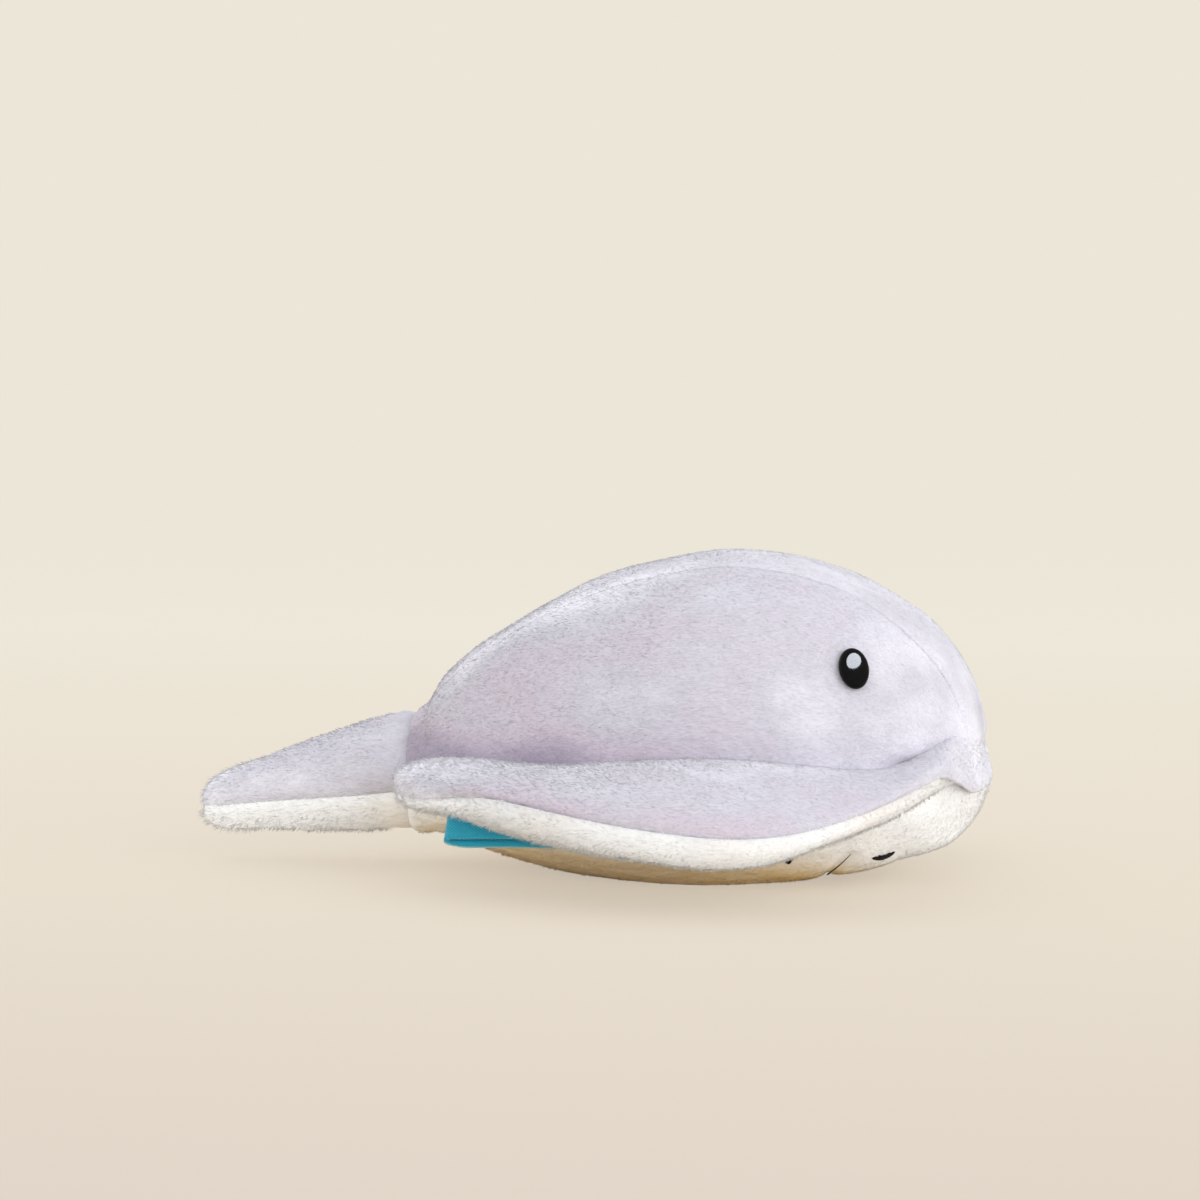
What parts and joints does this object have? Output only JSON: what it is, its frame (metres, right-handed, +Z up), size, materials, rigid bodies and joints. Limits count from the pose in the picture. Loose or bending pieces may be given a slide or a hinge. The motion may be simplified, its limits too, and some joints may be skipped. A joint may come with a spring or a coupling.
{
  "type": "plush stingray toy",
  "caption": "Stuffed plush stingray with a domed body on a padded disc, wings that flap, a tail that swings and lifts, glossy eyes and a woven side label.",
  "frame": {"origin": "on the table, in the flat patch under the belly, below the middle of the body", "axes": "+X towards the nose, +Y to the toy's left, +Z up"},
  "size_m": [0.1841, 0.1514, 0.074],
  "materials": {
    "lavender_plush": "short matt pile",
    "cream_plush": "short matt pile",
    "filling": "loose polyester fibre",
    "thread": "sewing thread",
    "embroidery": "satin stitch",
    "eye": "polished",
    "washer": "moulded",
    "label": "woven twill"
  },
  "bodies": {
    "body": {"gusset_panel": "lavender_plush", "side_panel_right": "lavender_plush", "side_panel_left": "lavender_plush", "belly_panel": "cream_plush", "body_filling": "filling", "eye_right": "eye", "eye_left": "eye", "eye_washer_right": "washer", "eye_washer_left": "washer", "gusset_seam_right": "thread", "gusset_seam_left": "thread", "waist_seam": "thread", "tail_seam": "thread", "smile_stitch": "embroidery", "nostril_stitch_right": "embroidery", "nostril_stitch_left": "embroidery", "gill_stitch_right": "embroidery", "gill_stitch_left": "embroidery", "collar_top": "lavender_plush", "collar_underside_right": "cream_plush", "collar_underside_left": "cream_plush", "nose_edge_seam": "thread", "collar_filling_right": "filling", "collar_filling_left": "filling"},
    "right_wing": {"wing_top_right": "lavender_plush", "wing_underside_right": "cream_plush", "wing_filling_right": "filling", "wing_edge_seam_right": "thread"},
    "left_wing": {"wing_top_left": "lavender_plush", "wing_underside_left": "cream_plush", "wing_filling_left": "filling", "wing_edge_seam_left": "thread"},
    "tail_neck": {"neck_filling": "filling"},
    "tail": {"tail_top": "lavender_plush", "tail_underside": "cream_plush", "tail_filling": "filling"},
    "label": {"side_label": "label"}
  },
  "joints": [
    {"name": "right_wing_flap", "type": "hinge", "parent": "body", "child": "right_wing", "pos_m": [0.005, -0.0475, 0.0255], "axis": [-1, 0, 0], "range_deg": [-12, 45], "stiffness_Nm_per_rad": 0.02},
    {"name": "left_wing_flap", "type": "hinge", "parent": "body", "child": "left_wing", "pos_m": [0.005, 0.0475, 0.0255], "axis": [1, 0, 0], "range_deg": [-12, 45], "stiffness_Nm_per_rad": 0.02},
    {"name": "tail_swing", "type": "hinge", "parent": "body", "child": "tail_neck", "pos_m": [-0.0715, 0, 0.02167], "axis": [0, 0, 1], "range_deg": [-25, 25], "stiffness_Nm_per_rad": 0.02},
    {"name": "tail_lift", "type": "hinge", "parent": "tail_neck", "child": "tail", "pos_m": [-0.0715, 0, 0.02167], "axis": [0, 1, 0], "range_deg": [-6, 25], "stiffness_Nm_per_rad": 0.02},
    {"name": "label_swing", "type": "hinge", "parent": "body", "child": "label", "pos_m": [-0.023, -0.04297, 0.0145], "axis": [-0.0493, 0.7054, 0.7071], "range_deg": [-25, 0], "stiffness_Nm_per_rad": 0.0005}
  ]
}
